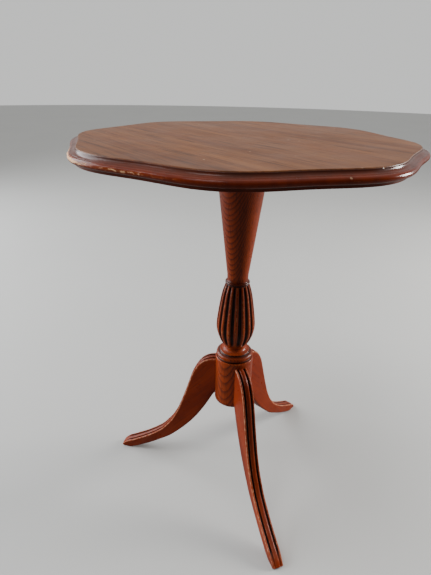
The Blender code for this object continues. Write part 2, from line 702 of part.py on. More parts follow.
def make_screws(steel, brass):
    wood_screw = screw_mesh("wood_screw", WOOD_SCREW, steel)
    small_screw = screw_mesh("small_screw", CASE_SCREW, brass)
    for name, place in bearer_screw_places():
        add_screw(name, wood_screw, place, HINGE)
    for name, place in case_screw_places():
        add_screw(name, small_screw, place, HINGE)
    for name, place in keeper_screw_places():
        add_screw(name, small_screw, place, (0, 0, 0))


def main():
    clear_scene()
    top_wood = make_material("top_mahogany", (0.16, 0.058, 0.028), 0.28)
    column_wood = make_material("column_mahogany", (0.27, 0.075, 0.028), 0.32)
    leg_wood = make_material("leg_mahogany", (0.24, 0.058, 0.025), 0.34)
    plain_wood = make_material("beech", (0.46, 0.30, 0.17), 0.6)
    brass = make_material("brass", (0.66, 0.47, 0.18), 0.35, 1.0)
    steel = make_material("steel", (0.50, 0.50, 0.50), 0.35, 1.0)
    make_top(top_wood)
    make_bearers(top_wood)
    make_block(top_wood)
    make_pins(steel)
    make_column(column_wood)
    make_wedge(plain_wood)
    make_legs(leg_wood)
    make_dowels(plain_wood)
    make_bolt_case(brass)
    make_bolt(brass)
    make_knob(brass)
    make_keeper(brass)
    make_screws(steel, brass)


main()
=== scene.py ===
"""Visual model of a tilt-top occasional table, laid out as a Blender add-on and run as a script.

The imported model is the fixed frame.  The operators turn, loft and finish the pieces that show,
give every carried-over node its material, and set up a pale studio.  Units are metres, +Z is up.
"""

import json
from math import atan2, cos, hypot, pi, radians, sin, sqrt

import bmesh
import bpy
from bpy.props import FloatProperty, FloatVectorProperty, IntProperty, PointerProperty
from bpy.types import Operator, Panel, PropertyGroup
from mathutils import Euler, Matrix, Vector, noise

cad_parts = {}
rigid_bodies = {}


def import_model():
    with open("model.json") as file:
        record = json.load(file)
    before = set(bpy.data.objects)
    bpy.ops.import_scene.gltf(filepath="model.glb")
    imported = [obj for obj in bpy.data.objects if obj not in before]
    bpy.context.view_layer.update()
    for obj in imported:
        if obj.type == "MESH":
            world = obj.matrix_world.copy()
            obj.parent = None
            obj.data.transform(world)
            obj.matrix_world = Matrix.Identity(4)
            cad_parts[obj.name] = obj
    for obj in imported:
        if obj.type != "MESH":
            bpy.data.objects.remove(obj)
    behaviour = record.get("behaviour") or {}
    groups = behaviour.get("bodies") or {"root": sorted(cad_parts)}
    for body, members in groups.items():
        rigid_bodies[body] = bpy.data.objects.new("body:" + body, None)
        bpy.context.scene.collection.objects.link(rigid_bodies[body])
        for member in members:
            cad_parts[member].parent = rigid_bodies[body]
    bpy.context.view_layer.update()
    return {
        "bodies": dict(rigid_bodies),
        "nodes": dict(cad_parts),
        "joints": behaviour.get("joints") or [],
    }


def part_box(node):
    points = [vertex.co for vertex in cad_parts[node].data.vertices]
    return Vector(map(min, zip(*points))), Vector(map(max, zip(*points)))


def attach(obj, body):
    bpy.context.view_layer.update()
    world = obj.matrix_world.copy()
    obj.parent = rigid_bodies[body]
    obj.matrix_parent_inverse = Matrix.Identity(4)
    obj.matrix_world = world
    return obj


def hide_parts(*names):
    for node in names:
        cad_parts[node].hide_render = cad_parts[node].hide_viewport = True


bl_info = {
    "name": "Tilt-top table",
    "version": (1, 0, 0),
    "blender": (4, 5, 0),
    "location": "View3D > Sidebar > Table",
    "description": "Builds the finished pieces of a tilt-top table on its packed frame",
    "category": "Add Mesh",
}

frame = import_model()
TOP_LOW, TOP_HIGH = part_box("table_top")
COLUMN_LOW, COLUMN_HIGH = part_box("column")
BLOCK_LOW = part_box("pivot_block")[0]
HINGE = Vector(next(joint for joint in frame["joints"] if joint["name"] == "top_tilt")["pos_m"])

GAP = 0.0003
LONG_ARRIS = 0.016        # shortest edge of the block and bearers that is softened
WOOD_SHARP = 50           # angle in degrees past which an edge is shaded sharp
METAL_SHARP = 30

# The top's edge: a quirk under the arris, a cove, a bead and a lip
ARRIS = 0.0007
QUIRK_DROP = 0.0012
QUIRK_SET = 0.0006
COVE_RUN = 0.0052
COVE_DROP = 0.0040
BEAD_REACH = 0.0042
BEAD_HEIGHT = 0.0076
LIP_REACH = 0.0030
LIP_HEIGHT = 0.0032
LIP_ROUND = 0.0008

# The column's turned members, as radii and heights
COLUMN_TOP_RADIUS = 0.0330
TAPER_FOOT = (0.0146, 0.3620)
COLLAR = (0.0176, 0.3545)
COLLAR_HALF = 0.0022
URN_TOP = COLLAR[1] - COLLAR_HALF * 1.2
URN_SHOULDER = (0.0228, 0.3310)
URN_BELLY = (0.0287, 0.2850)
URN_LOWER = (0.0245, 0.2635)
URN_FOOT = (0.0162, 0.2487)
NECK = (0.0156, 0.2475)
RIM = (0.0224, 0.2405)
RIM_GROOVE_RADIUS = 0.0208
RIM_ROUND = 0.0006
TORUS = (0.0276, 0.2342)
TORUS_HALF = 0.0040
HUB_RADIUS = 0.0288
HUB_GROOVE_RADIUS = 0.0262
HUB_TOP = 0.2290
HUB_ROUNDING = 0.0025
HUB_SHOULDER = 0.0011
TENON_RADIUS = 0.0130
WEDGE_DEPTH = 0.0153
WEDGE_HALF = 0.0019

# The reeds round the urn
REED_STEPS = 12           # columns of corners to a reed, the first at the groove's bottom
REED_PHASE = radians(-38.6)
REED_ARC = 76             # half angle of a reed's round, in degrees
REED_HALF = 0.38          # half of a reed's share of the pitch
GROOVE_FALL = 1.22        # the groove's depth against the reed's edge

# The legs' upper and lower edges from hub to toe, as radius and height of each
LEG_STATIONS = (
    (0.0200, 0.2222, 0.0200, 0.1700),
    (0.0330, 0.2205, 0.0300, 0.1532),
    (0.0440, 0.2163, 0.0345, 0.1445),
    (0.0525, 0.2092, 0.0385, 0.1362),
    (0.0609, 0.1966, 0.0428, 0.1278),
    (0.0671, 0.1818, 0.0470, 0.1200),
    (0.0768, 0.1495, 0.0565, 0.1038),
    (0.0870, 0.1184, 0.0672, 0.0884),
    (0.0938, 0.1007, 0.0745, 0.0790),
    (0.1031, 0.0821, 0.0850, 0.0668),
    (0.1124, 0.0688, 0.0960, 0.0554),
    (0.1242, 0.0548, 0.1095, 0.0430),
    (0.1482, 0.0363, 0.1380, 0.0238),
    (0.1728, 0.0217, 0.1665, 0.0078),
    (0.1828, 0.0164, 0.1785, 0.0025),
    (0.1892, 0.0127, 0.1850, 0.0000),
    (0.1950, 0.0078, 0.1905, 0.0000),
    (0.1990, 0.0028, 0.1962, 0.0000),
)
LEG_TOE_RUN = 0.016       # length over which the toe narrows
LEG_TOE_SHARE = 0.86      # thickness left at the toe
LEG_ARRIS = 0.0014        # rounding of the lower edges
LEG_COUNT = 3
LEG_TURN = radians(101.9)


# ---------------------------------------------------------------- settings

def colour(label, description, default):
    return FloatVectorProperty(name=label, description=description, default=default,
                               subtype="COLOR", size=3, min=0, max=1)


def length(label, description, default):
    return FloatProperty(name=label, description=description, default=default,
                         unit="LENGTH", min=0, precision=4)


def share(label, description, default, high=1.0):
    return FloatProperty(name=label, description=description, default=default,
                         subtype="FACTOR", min=0, max=high)


def amount(label, description, default, unit="NONE"):
    return FloatProperty(name=label, description=description, default=default, unit=unit, min=0)


class TopSettings(PropertyGroup):
    radius: length("Radius", "Mean radius of the flat upper face", 0.2015)
    lobes: IntProperty(name="Lobes", description="Number of swells round the outline", default=8, min=3)
    swell: length("Swell", "Height of each lobe above the mean radius", 0.0050)
    light_grain: colour("Light grain", "Pale bands in the board", (0.250, 0.098, 0.034))
    dark_grain: colour("Dark grain", "Dark bands in the board", (0.135, 0.041, 0.0135))
    # Stain in the cove, with painted shade in the quirk and the bead's crevices
    edge_stain_and_shade: colour("Edge stain", "Dark stain held in the cove", (0.085, 0.0310, 0.0210))
    edge_glow: colour("Edge glow", "Red-brown of the rubbed bead", (0.240, 0.030, 0.0060))
    bare_wood: colour("Bare wood", "Pale wood where the finish has gone", (0.90, 0.50, 0.24))
    wear_and_sheen: share("Wear", "How far the edge is rubbed through", 0.55)


class ColumnSettings(PropertyGroup):
    reeds: IntProperty(name="Reeds", description="Number of reeds round the urn", default=16, min=6)
    reed_depth: share("Reed depth", "Depth of the grooves as a share of the radius", 0.095, 0.3)
    light_grain: colour("Light grain", "Wood between the growth lines", (0.370, 0.052, 0.0085))
    dark_grain: colour("Dark grain", "The growth lines", (0.085, 0.0095, 0.0024))
    # Dark stain in the grooves, with painted shade in the grooves, creases, collar and taper foot
    stain_and_shade: colour("Stain", "Dark stain held in the grooves", (0.014, 0.0035, 0.0022))


class LegSettings(PropertyGroup):
    thickness: length("Thickness", "Thickness of each leg", 0.018)
    groove: length("Groove depth", "Depth of the grooves beside the reed", 0.0020)
    light_grain: colour("Light grain", "Pale wood of the legs", (0.330, 0.040, 0.0070))
    dark_grain: colour("Dark grain", "Dark streaks in the legs", (0.165, 0.015, 0.0032))
    # Rubbed arrises, with a painted highlight along them
    pale_edge: colour("Worn edge", "Rubbed arrises", (0.62, 0.30, 0.17))
    # Dulled finish towards the toes, with a painted reflection of the pale surroundings
    scuff_and_reflection: colour("Scuffed foot", "Dulled finish towards the toes", (0.320, 0.100, 0.060))


class FittingSettings(PropertyGroup):
    brass: colour("Brass", "Bolt, case and keeper", (0.58, 0.40, 0.15))
    brass_dull: colour("Dull brass", "Tarnish on the brass", (0.20, 0.13, 0.055))
    steel: colour("Steel", "Pins and bearer screws", (0.42, 0.41, 0.40))
    steel_dull: colour("Dull steel", "Darkened steel", (0.13, 0.12, 0.11))
    beech: colour("Beech", "Dowels and wedge", (0.50, 0.33, 0.19))
    beech_dark: colour("Dark beech", "Flecks in the beech", (0.33, 0.19, 0.10))
    rounding: length("Rounding", "Softened arrises of block and bearers", 0.0010)


class StageSettings(PropertyGroup):
    floor: colour("Floor", "Plain floor", (0.50, 0.50, 0.488))
    floor_bounce: colour("Floor bounce", "Shade of the light the floor throws back", (0.15, 0.149, 0.143))
    backdrop: colour("Backdrop", "Pale surroundings", (0.66, 0.665, 0.655))
    key: amount("Key", "Power of the soft side light", 64.0, "POWER")
    fill: amount("Fill", "Power of the opposite light", 84.0, "POWER")
    overhead: amount("Overhead", "Strength of the broad overhead light", 1.0)
    sky: amount("Sky", "Brightness of the light from above", 0.55)
    surround: amount("Surround", "Brightness of the room behind the table", 0.75)
    seen: amount("Seen backdrop", "Brightness of the backdrop as seen", 1.15)
    camera_place: FloatVectorProperty(name="Camera", description="Place of the camera",
                                      subtype="TRANSLATION", unit="LENGTH",
                                      default=(0.43078, -0.36361, 0.62154))
    camera_turn: FloatVectorProperty(name="Camera turn", description="Rotation of the camera",
                                     subtype="EULER",
                                     default=(radians(63.7243), radians(-1.079), radians(53.5559)))
    lens: FloatProperty(name="Lens", description="Focal length", default=27.33, unit="CAMERA", min=1)


class TableSettings(PropertyGroup):
    top: PointerProperty(type=TopSettings, name="Top", description="Table top")
    column: PointerProperty(type=ColumnSettings, name="Column", description="Turned column")
    legs: PointerProperty(type=LegSettings, name="Legs", description="Sabre legs")
    fittings: PointerProperty(type=FittingSettings, name="Fittings",
                              description="Metalwork and small woodwork")
    stage: PointerProperty(type=StageSettings, name="Stage", description="Floor, lights and camera")


# ---------------------------------------------------------------- shaping

def arc(centre, radii, start, end, steps):
    """Points on an ellipse's arc, its angles in degrees."""
    angles = [radians(start + (end - start) * i / steps) for i in range(steps + 1)]
    return [(centre[0] + radii[0] * cos(a), centre[1] + radii[1] * sin(a)) for a in angles]


def smooth_curve(points, steps):
    """A Catmull-Rom curve through points of any dimension, steps spans to a stretch."""
    ends = [points[0], *points, points[-1]]
    curve = []
    for i in range(len(points) - 1):
        p0, p1, p2, p3 = ends[i:i + 4]
        for k in range(steps):
            t = k / steps
            curve.append(tuple(
                b + t * (c - a) / 2 + t * t * (2 * a - 5 * b + 4 * c - d) / 2
                + t ** 3 * (3 * b - a - 3 * c + d) / 2
                for a, b, c, d in zip(p0, p1, p2, p3)))
    curve.append(tuple(points[-1]))
    return curve


def ease(value, low, high):
    """0 below low, 1 above high and a smooth rise between."""
    t = min(1.0, max(0.0, (value - low) / (high - low)))
    return t * t * (3 - 2 * t)


def loop_edges(loop):
    members = set(loop)
    return list({edge for vert in loop for edge in vert.link_edges if edge.other_vert(vert) in members})


def extrude_loop(bm, loop, places):
    """Extrude a closed loop and set its new corners, in the old loop's order."""
    grown = bmesh.ops.extrude_edge_only(bm, edges=loop_edges(loop))["geom"]
    fresh = {item for item in grown if isinstance(item, bmesh.types.BMVert)}
    new = [next(e.other_vert(v) for e in v.link_edges if e.other_vert(v) in fresh) for v in loop]
    for vert, place in zip(new, places):
        vert.co = place
    return new


def loft(rings, names, masks):
    """Carry a circle's rim from ring to ring and close both ends.

    masks holds, for each ring, each corner's values of the attributes in names."""
    bm = bmesh.new()
    layers = [bm.verts.layers.float.new(name) for name in names]
    loop = bmesh.ops.create_circle(bm, segments=len(rings[0]), radius=1)["verts"]
    for vert, place in zip(loop, rings[0]):
        vert.co = place
    loops = [loop]
    for places in rings[1:]:
        loops.append(extrude_loop(bm, loops[-1], places))
    for loop, mask in zip(loops, masks):
        for vert, values in zip(loop, mask):
            for layer, value in zip(layers, values):
                vert[layer] = value
    bmesh.ops.holes_fill(bm, edges=loop_edges(loops[0]) + loop_edges(loops[-1]), sides=0)
    bmesh.ops.recalc_face_normals(bm, faces=bm.faces)
    return bm


def spun(profile, steps, names=()):
    """Spin a line of points about Z: radius, height, then one value for each attribute in names."""
    bm = bmesh.new()
    layers = [bm.verts.layers.float.new(name) for name in names]
    line = []
    for radius, height, *values in profile:
        vert = bm.verts.new((radius, 0, height))
        for layer, value in zip(layers, values):
            vert[layer] = value
        line.append(vert)
    edges = [bm.edges.new(pair) for pair in zip(line, line[1:])]
    bmesh.ops.spin(bm, geom=line + edges, cent=(0, 0, 0), axis=(0, 0, 1), dvec=(0, 0, 0),
                   angle=2 * pi, steps=steps, use_merge=True, use_duplicate=False)
    bmesh.ops.remove_doubles(bm, verts=bm.verts, dist=1e-7)
    return bm


def close_ends(bm):
    bmesh.ops.holes_fill(bm, edges=[edge for edge in bm.edges if edge.is_boundary], sides=0)
    bmesh.ops.recalc_face_normals(bm, faces=bm.faces)
    return bm


def lathe(profile, steps):
    """A closed turned piece from a line of (radius, height) points."""
    return close_ends(spun(profile, steps))


def sink_slot(bm, half_width, depth):
    """Sink a slot along X across the topmost face."""
    face = max(bm.faces, key=lambda f: f.calc_center_median().z + f.calc_area())
    for side in (-1, 1):
        strip = [f for f in bm.faces if abs(f.calc_center_median().z - face.calc_center_median().z) < 1e-6
                 and f.normal.z > 0.9]
        geom = strip + list({e for f in strip for e in f.edges}) + list({v for f in strip for v in f.verts})
        bmesh.ops.bisect_plane(bm, geom=geom, plane_co=(0, side * half_width, 0), plane_no=(0, side, 0),
                               dist=1e-7)
        level = max(v.co.z for v in bm.verts)
        face = max((f for f in bm.faces if f.normal.z > 0.9 and f.calc_center_median().z > level - 1e-5
                    and abs(f.calc_center_median().y) < half_width * 1.01 + (0 if side > 0 else 1)),
                   key=lambda f: f.calc_area())
    sunk = bmesh.ops.extrude_discrete_faces(bm, faces=[face])["faces"]
    bmesh.ops.translate(bm, vec=(0, 0, -depth), verts=list({v for f in sunk for v in f.verts}))


def finish_piece(name, bm, material, body, replaced, sharp=38):
    """Make the piece, put it on its body and let it stand for its nodes."""
    mesh = bpy.data.meshes.new(name)
    bm.to_mesh(mesh)
    bm.free()
    mesh.materials.append(material)
    mesh.shade_smooth()
    mesh.set_sharp_from_angle(angle=radians(sharp))
    piece = bpy.data.objects.new(name, mesh)
    bpy.context.scene.collection.objects.link(piece)
    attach(piece, body)
    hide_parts(*replaced)


def softened_copy(node, width, shortest):
    """A merged copy of a node's mesh with its long arrises rounded."""
    bm = bmesh.new()
    bm.from_mesh(frame["nodes"][node].data)
    bmesh.ops.remove_doubles(bm, verts=bm.verts, dist=1e-6)
    bmesh.ops.dissolve_limit(bm, angle_limit=radians(1), verts=bm.verts, edges=bm.edges)
    arrises = [edge for edge in bm.edges if edge.is_manifold and edge.calc_face_angle(0) > radians(35)
               and edge.calc_length() > shortest]
    bmesh.ops.bevel(bm, geom=arrises, offset=width, segments=2, profile=0.5, affect="EDGES",
                    material=-1, clamp_overlap=True)
    bmesh.ops.triangulate(bm, faces=[face for face in bm.faces if len(face.verts) > 4])
    return bm


def body_of(node):
    return next(body for body, thing in frame["bodies"].items() if frame["nodes"][node].parent == thing)


# ---------------------------------------------------------------- materials

class Shading:
    """A node tree, with short ways to add and join nodes."""

    def __init__(self, tree):
        self.tree = tree

    def add(self, kind, inputs=None, out=0, **settings):
        node = self.tree.nodes.new("ShaderNode" + kind)
        for key, value in settings.items():
            setattr(node, key, value)
        for key, value in (inputs or {}).items():
            if isinstance(value, bpy.types.NodeSocket):
                self.tree.links.new(value, node.inputs[key])
            else:
                node.inputs[key].default_value = value
        return node.outputs[out]

    def space(self, place=(0, 0, 0), turn=(0, 0, 0)):
        """The piece's own coordinates, measured from a place and a turn."""
        own = self.add("TexCoord", out=3)
        return self.add("Mapping", {"Vector": own, "Location": place, "Rotation": turn},
                        vector_type="TEXTURE")

    def stretch(self, vector, scale):
        return self.add("Mapping", {"Vector": vector, "Scale": scale})

    def noise(self, vector, scale, detail=2.0, roughness=0.5, distortion=0.0):
        return self.add("TexNoise", {"Vector": vector, "Scale": scale, "Detail": detail,
                                     "Roughness": roughness, "Distortion": distortion})

    def ramp(self, value, *stops):
        """A colour ramp through (position, grey or colour) stops."""
        socket = self.add("ValToRGB", {"Fac": value})
        band = socket.node.color_ramp
        while len(band.elements) < len(stops):
            band.elements.new(0.5)
        for element, (position, tone) in zip(band.elements, stops):
            element.position = position
            element.color = (tone, tone, tone, 1) if isinstance(tone, (int, float)) else (*tone, 1)
        return socket

    def spread(self, value, low, high, start=0.0, end=1.0):
        return self.add("MapRange", {"Value": value, "From Min": low, "From Max": high,
                                     "To Min": start, "To Max": end})

    def sums(self, operation, a, b):
        return self.add("Math", {0: a, 1: b}, operation=operation, use_clamp=operation != "ADD")

    def mix(self, share_, a, b, blend="MIX"):
        node = self.tree.nodes.new("ShaderNodeMix")
        node.data_type = "RGBA"
        node.blend_type = blend
        for index, value in ((0, share_), (6, a), (7, b)):
            if isinstance(value, bpy.types.NodeSocket):
                self.tree.links.new(value, node.inputs[index])
            else:
                node.inputs[index].default_value = value if index == 0 else (*value, 1)
        return node.outputs[2]

    def mask(self, name):
        return self.add("Attribute", out=2, attribute_name=name)

    def warped(self, vector, scale, amount):
        """The coordinates pushed about by a slow noise, as grain wanders."""
        push = self.add("TexNoise", {"Vector": vector, "Scale": scale, "Detail": 2.0}, out=1)
        centred = self.add("VectorMath", {0: push, 1: (0.5, 0.5, 0.5)}, operation="SUBTRACT")
        sized = self.add("VectorMath", {0: centred, "Scale": amount}, out=0, operation="SCALE")
        return self.add("VectorMath", {0: vector, 1: sized}, operation="ADD")

    def rings(self, vector, spacing, wobble=1.5):
        """Growth rings about the local Z axis."""
        return self.add("TexWave", {"Vector": vector, "Scale": 0.314 / spacing, "Distortion": wobble,
                                    "Detail": 2.0, "Detail Scale": 0.14, "Detail Roughness": 0.5},
                        out=1, wave_type="RINGS", rings_direction="Z", wave_profile="SAW")


class Finish(Shading):
    """A material's nodes, which end in its shader."""

    def __init__(self, name, roughness=0.4, metallic=0.0, coat=0.0, coat_roughness=0.2, specular=0.5):
        self.material = bpy.data.materials.new(name)
        self.material.use_nodes = True
        super().__init__(self.material.node_tree)
        self.shader = self.tree.nodes["Principled BSDF"]
        self.shader.inputs["Roughness"].default_value = roughness
        self.shader.inputs["Metallic"].default_value = metallic
        self.shader.inputs["Coat Weight"].default_value = coat
        self.shader.inputs["Coat Roughness"].default_value = coat_roughness
        self.shader.inputs["Specular IOR Level"].default_value = specular

    def join(self, name, socket):
        self.tree.links.new(socket, self.shader.inputs[name])

    def bump(self, *layers):
        """Lay (height socket, distance in metres) layers one on another."""
        normal = None
        for height, distance in layers:
            inputs = {"Height": height, "Distance": distance, "Strength": 1.0}
            if normal:
                inputs["Normal"] = normal
            normal = self.add("Bump", inputs)
        self.join("Normal", normal)


def top_finish(settings):
    """Polished mahogany: streaks and pores along X, a cove darkened by stain and painted shade, a rubbed
    bead.
    """
    f = Finish("polished_top", roughness=0.40, coat=0.04, coat_roughness=0.16, specular=0.15)
    board = f.warped(f.space(), 3.0, 0.020)
    along = f.stretch(board, (1.2, 22.0, 22.0))
    bands = f.noise(along, 2.6, 5.0, 0.62)
    figure = f.noise(f.stretch(board, (3.0, 9.0, 9.0)), 2.2, 3.0)
    tone = f.mix(f.spread(bands, 0.30, 0.72), settings.dark_grain, settings.light_grain)
    tone = f.mix(f.spread(figure, 0.35, 0.75, 0.0, 0.30), tone, (0.330, 0.112, 0.034))
    streaks = f.noise(f.stretch(board, (11.0, 330.0, 330.0)), 1.0, 3.0, 0.62)
    tone = f.mix(f.spread(streaks, 0.50, 0.70, 0.0, 0.80), tone, (0.040, 0.014, 0.008))
    pores = f.noise(f.stretch(f.space(), (60.0, 1500.0, 1500.0)), 1.0, 1.0)
    tone = f.mix(f.spread(pores, 0.60, 0.72, 0.0, 0.55), tone, (0.022, 0.007, 0.004))
    # The moulded edge, its cove and crevices darkened by stain with painted shade
    edge = f.mask("edge")
    mottled = f.noise(f.space(), 60.0, 4.0, 0.6)
    rub_and_sheen = f.mix(f.spread(mottled, 0.3, 0.7), settings.edge_glow, (0.130, 0.014, 0.0040))
    darkened = f.mix(f.sums("MULTIPLY", f.mask("stain_and_shade"), f.spread(mottled, 0.1, 0.6, 0.75, 1.0)),
                    rub_and_sheen, settings.edge_stain_and_shade)
    tone = f.mix(edge, tone, darkened)
    # Wear through the finish
    ragged = f.noise(f.stretch(f.space(), (150.0, 150.0, 380.0)), 1.0, 6.0, 0.72)
    rubbing_and_sheen = f.sums("ADD", f.mask("wear_and_sheen"), ragged)
    pale_edge = f.spread(rubbing_and_sheen, 1.01, 1.06)
    halo = f.spread(rubbing_and_sheen, 0.86, 1.08, 0.0, 0.8)
    tone = f.mix(halo, tone, (0.46, 0.110, 0.034))
    tone = f.mix(pale_edge, tone, settings.bare_wood)
    specks = f.add("TexVoronoi", {"Vector": f.warped(f.space(), 300.0, 0.002), "Scale": 75.0})
    chosen = f.spread(f.noise(f.space((3.1, 0.7, 0.2)), 34.0, 1.0), 0.60, 0.64)
    nick = f.sums("MULTIPLY", f.spread(specks, 0.07, 0.11, 1.0, 0.0), chosen)
    tone = f.mix(nick, tone, (0.50, 0.29, 0.17))
    f.join("Base Color", tone)
    smears = f.noise(f.space(), 14.0, 4.0, 0.65)
    rough = f.spread(smears, 0.3, 0.7, 0.34, 0.48)
    rough = f.mix(edge, rough, f.spread(mottled, 0.3, 0.7, 0.14, 0.28))
    f.join("Roughness", f.mix(pale_edge, rough, (0.62, 0.62, 0.62)))
    f.bump((pores, -0.00002), (streaks, -0.00003), (mottled, 0.00012), (nick, -0.0002), (pale_edge, -0.0002))
    return f.material


def column_finish(settings):
    """Turned wood whose slanting growth rings show as nested arches."""
    f = Finish("turned_column", roughness=0.3, coat=0.14, coat_roughness=0.12, specular=0.20)
    low, high = Vector((-0.0300, 0.0954, 0.190)), Vector((-0.0330, 0.1376, 0.450))
    lean = (high - low).to_track_quat("Z", "Y").to_euler()
    pith = f.warped(f.space(low, lean), 14.0, 0.0028)
    growth = f.rings(pith, 0.0022, 1.3)
    lines = f.ramp(growth, (0.0, 0.0), (0.45, 0.12), (0.74, 0.75), (0.90, 1.0), (0.96, 0.5), (1.0, 0.0))
    own = f.space()
    height = f.add("SeparateXYZ", {"Vector": own}, out=2)
    above_foot = f.spread(height, URN_FOOT[1] - 0.006, URN_FOOT[1])
    plain = f.sums("MULTIPLY", above_foot, f.spread(height, 0.358, 0.352))
    fading = f.noise(f.stretch(own, (30.0, 30.0, 12.0)), 1.0, 2.0)
    shown = f.sums("MULTIPLY", f.spread(plain, 0.0, 1.0, 1.0, 0.18),
                   f.spread(fading, 0.32, 0.60, 0.55, 1.0))
    tone = f.mix(f.sums("MULTIPLY", lines, shown), settings.light_grain, settings.dark_grain)
    # Painted shade: the upper half of the urn is darkened towards its shoulder
    shoulder = f.sums("MULTIPLY", plain, f.spread(height, 0.285, 0.335, 0.0, 0.65))
    tone = f.mix(shoulder, tone, (0.150, 0.020, 0.0065))
    patch = f.noise(f.stretch(own, (14.0, 14.0, 5.0)), 1.0, 3.0)
    tone = f.mix(f.spread(patch, 0.35, 0.7, 0.0, 0.5), tone, (0.240, 0.027, 0.0048))
    streaks = f.noise(f.stretch(own, (700.0, 700.0, 40.0)), 1.0, 3.0, 0.6)
    tone = f.mix(f.spread(streaks, 0.50, 0.70, 0.0, 0.65), tone, (0.060, 0.010, 0.004))
    mottled = f.noise(own, 90.0, 4.0, 0.6)
    # Stain with painted shade, darkening grooves, creases, the collar and the taper's foot
    held_stain_and_shade = f.sums("MULTIPLY", f.mask("stain_and_shade"), f.spread(mottled, 0.1, 0.6, 0.8, 1.0))
    tone = f.mix(held_stain_and_shade, tone, settings.stain_and_shade)
    # Rubbed wear with a painted highlight: pale lines along the reed crests and the arrises
    rub_and_highlight = f.spread(f.sums("ADD", f.mask("wear_and_sheen"), f.noise(own, 260.0, 4.0, 0.7)), 0.98, 1.16, 0.0, 0.6)
    tone = f.mix(rub_and_highlight, tone, (0.50, 0.20, 0.085))
    f.join("Base Color", tone)
    f.join("Roughness", f.spread(mottled, 0.3, 0.7, 0.24, 0.40))
    f.bump((streaks, -0.00005), (growth, 0.00003), (mottled, 0.00014))
    return f.material


def leg_finish(settings, index, turn):
    """Sawn and shaped leg: grain runs from the hub out to the toe."""
    f = Finish(f"leg_wood_{index + 1}", roughness=0.34, coat=0.08, coat_roughness=0.18, specular=0.16)
    along = turn @ Vector((0.17, 0, -0.20))
    lean = along.to_track_quat("Z", "Y").to_euler()
    board = f.warped(f.space(turn @ Vector((0.02 * index, 0.05, 0.1)), lean), 7.0, 0.012)
    bands = f.noise(f.stretch(board, (46.0, 46.0, 3.4)), 1.0, 4.0, 0.55)
    tone = f.mix(f.spread(bands, 0.32, 0.70), settings.dark_grain, settings.light_grain)
    broad = f.noise(f.space(), 18.0, 3.0)
    tone = f.mix(f.spread(broad, 0.38, 0.72, 0.0, 0.5), tone, (0.330, 0.040, 0.0085))
    streaks = f.noise(f.stretch(board, (650.0, 650.0, 26.0)), 1.0, 3.0, 0.6)
    tone = f.mix(f.spread(streaks, 0.53, 0.74, 0.0, 0.55), tone, (0.060, 0.012, 0.006))
    mottled = f.noise(f.space(), 80.0, 4.0, 0.6)
    reach = f.add("VectorMath", {0: f.stretch(f.space(), (1.0, 1.0, 0.0))}, out=1, operation="LENGTH")
    # Paler towards the toes: dulled finish with a painted reflection of the pale surroundings
    toe_patches = f.noise(f.space(), 55.0, 5.0, 0.65)
    scuff_and_reflection = f.sums("MULTIPLY", f.spread(reach, 0.075, 0.185), f.spread(toe_patches, 0.36, 0.60))
    tone = f.mix(f.sums("MULTIPLY", scuff_and_reflection, 0.26), tone, settings.scuff_and_reflection)
    # Stain with painted shade: near black in the grooves, darker on the reed and the underside
    held_stain_and_shade = f.sums("MULTIPLY", f.mask("stain_and_shade"), f.spread(mottled, 0.1, 0.6, 0.85, 1.0))
    tone = f.mix(held_stain_and_shade, tone, (0.0075, 0.0022, 0.0016))
    ragged = f.noise(f.space(), 240.0, 5.0, 0.7)
    # Rubbed edges: wear with a painted highlight, a pale halo and paler arrises and bead edges
    rubbing_and_sheen = f.sums("ADD", f.mask("wear_and_sheen"), ragged)
    rub_and_highlight = f.spread(rubbing_and_sheen, 1.02, 1.14)
    tone = f.mix(f.spread(rubbing_and_sheen, 0.80, 1.10, 0.0, 0.65), tone, (0.45, 0.150, 0.075))
    tone = f.mix(rub_and_highlight, tone, settings.pale_edge)
    f.join("Base Color", tone)
    f.join("Roughness", f.mix(rub_and_highlight, f.spread(mottled, 0.3, 0.7, 0.26, 0.42), (0.6, 0.6, 0.6)))
    f.bump((streaks, -0.00005), (mottled, 0.00014), (rub_and_highlight, -0.00012))
    return f.material


def plain_finish(name, light, dark, axis_scale, roughness=0.55):
    """Unpolished wood with its grain along the least stretched axis."""
    f = Finish(name, roughness=roughness, specular=0.35)
    own = f.warped(f.space(), 6.0, 0.010)
    bands = f.noise(f.stretch(own, axis_scale), 1.0, 4.0, 0.6)
    tone = f.mix(f.spread(bands, 0.32, 0.70), dark, light)
    fine = f.noise(f.stretch(own, [value * 12 for value in axis_scale]), 1.0, 3.0, 0.6)
    tone = f.mix(f.spread(fine, 0.52, 0.74, 0.0, 0.5), tone, [value * 0.35 for value in dark])
    f.join("Base Color", tone)
    f.join("Roughness", f.spread(fine, 0.3, 0.7, roughness - 0.06, roughness + 0.12))
    f.bump((fine, -0.00008), (f.noise(own, 120.0, 3.0), 0.00010))
    return f.material


def metal_finish(name, bright, dull, roughness):
    """Metal with cloudy tarnish and fine rub marks."""
    f = Finish(name, roughness=roughness, metallic=1.0)
    cloud = f.noise(f.space(), 180.0, 5.0, 0.65)
    f.join("Base Color", f.mix(f.spread(cloud, 0.38, 0.68), bright, dull))
    f.join("Roughness", f.spread(cloud, 0.3, 0.7, roughness, roughness + 0.28))
    f.bump((f.noise(f.stretch(f.space(), (2600.0, 500.0, 2600.0)), 1.0, 2.0), 0.00002), (cloud, 0.00004))
    return f.material


def use_material(node, material):
    """Give a carried-over node its material."""
    thing = frame["nodes"][node]
    for holder in thing.material_slots:
        holder.material = material
    if not thing.material_slots:
        thing.data.materials.append(material)


# ---------------------------------------------------------------- top

